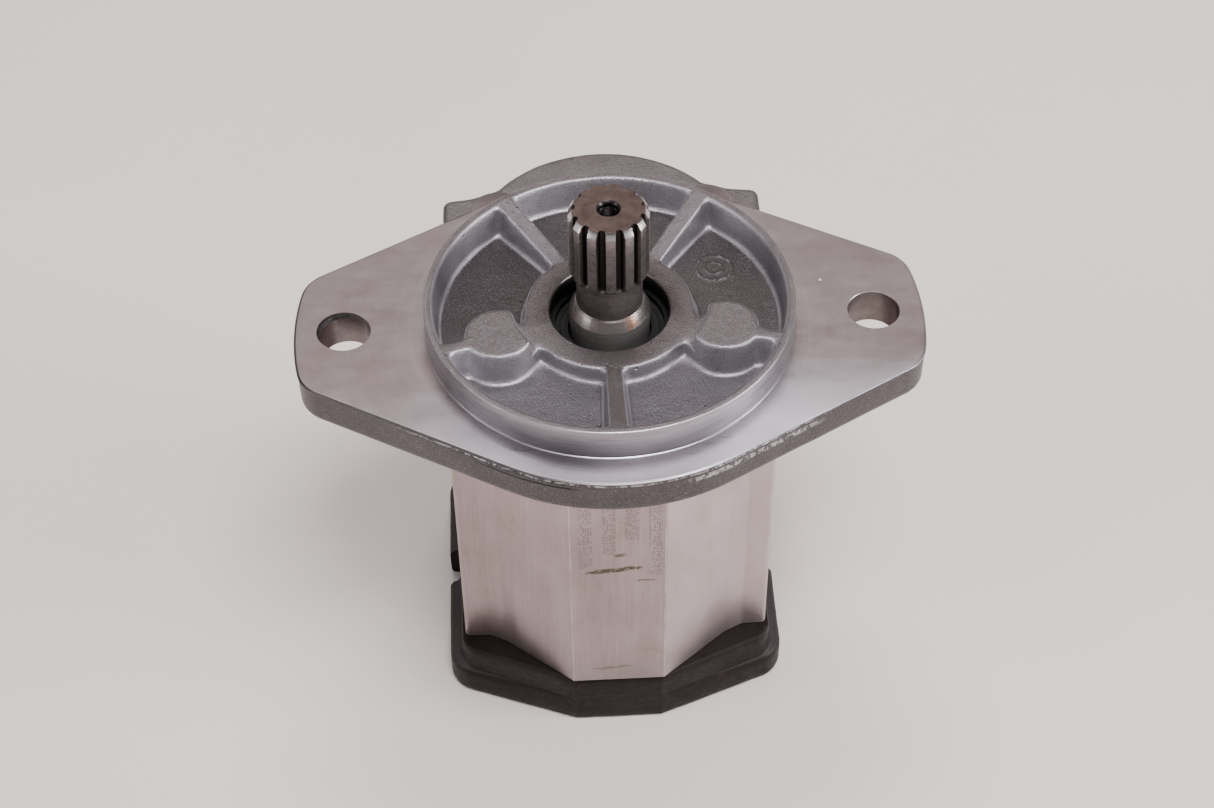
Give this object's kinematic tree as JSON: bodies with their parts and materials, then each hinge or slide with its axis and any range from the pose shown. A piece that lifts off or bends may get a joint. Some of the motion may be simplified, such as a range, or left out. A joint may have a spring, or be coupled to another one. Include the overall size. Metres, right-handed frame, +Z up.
{
  "type": "hydraulic gear pump",
  "caption": "Hydraulic external gear pump with a two-bolt flange, a round ribbed pilot, an extruded aluminium body and a splined drive shaft.",
  "frame": {"origin": "the drive shaft's axis where it meets the rear cover's flat end, which the pump stands on", "axes": "+Z up along the drive shaft towards its splined end, +X through the right flange bolt hole, +Y from the drive gear's axis to the driven gear's axis"},
  "size_m": [0.1736, 0.1324, 0.1764],
  "materials": {
    "flange_casting": "grained as-cast aluminium with satin machined mounting face and turned pilot, faint brown handling stains",
    "body_extrusion": "warm grey extruded aluminium with fine lines along its length",
    "cover_casting": "satin black painted cast iron",
    "shaft_steel": "dark hardened steel with ground seal diameter, brown oxide on the end face and bright spline chamfers",
    "gear_steel": "hardened and ground steel",
    "bearing_block": "machined aluminium",
    "bush_bronze": "bronze-backed plain bearing",
    "seal_rubber": "matt black nitrile rubber",
    "backup_plastic": "matt off-white plastic",
    "bright_steel": "plain bright steel",
    "black_steel": "black oxide steel"
  },
  "bodies": {
    "housing": {"mounting_flange": "flange_casting", "pump_body": "body_extrusion", "rear_cover": "cover_casting", "front_bearing_block": "bearing_block", "rear_bearing_block": "bearing_block", "drive_front_bush": "bush_bronze", "drive_rear_bush": "bush_bronze", "driven_front_bush": "bush_bronze", "driven_rear_bush": "bush_bronze", "front_pressure_seal": "seal_rubber", "rear_pressure_seal": "seal_rubber", "front_backup_ring": "backup_plastic", "rear_backup_ring": "backup_plastic", "front_body_seal": "seal_rubber", "rear_body_seal": "seal_rubber", "shaft_seal_lip": "seal_rubber", "shaft_seal_case": "bright_steel", "garter_spring": "bright_steel", "seal_retaining_ring": "black_steel", "cap_screw_front_left": "black_steel", "cap_screw_front_right": "black_steel", "cap_screw_rear_left": "black_steel", "cap_screw_rear_right": "black_steel", "washer_front_left": "bright_steel", "washer_front_right": "bright_steel", "washer_rear_left": "bright_steel", "washer_rear_right": "bright_steel", "front_dowel_left": "bright_steel", "front_dowel_right": "bright_steel", "rear_dowel_left": "bright_steel", "rear_dowel_right": "bright_steel"},
    "drive_shaft": {"drive_gear_shaft": "shaft_steel"},
    "driven_shaft": {"driven_gear_shaft": "gear_steel"}
  },
  "joints": [
    {"name": "drive_spin", "type": "hinge", "parent": "housing", "child": "drive_shaft", "pos_m": [0, 0, 0.1], "axis": [0, 0, 1], "continuous": true},
    {"name": "driven_spin", "type": "hinge", "parent": "housing", "child": "driven_shaft", "pos_m": [0, 0.034, 0.0635], "axis": [0, 0, 1], "continuous": true}
  ],
  "couplings": [
    {"joint": "driven_spin", "follows": "drive_spin", "ratio": -1}
  ]
}
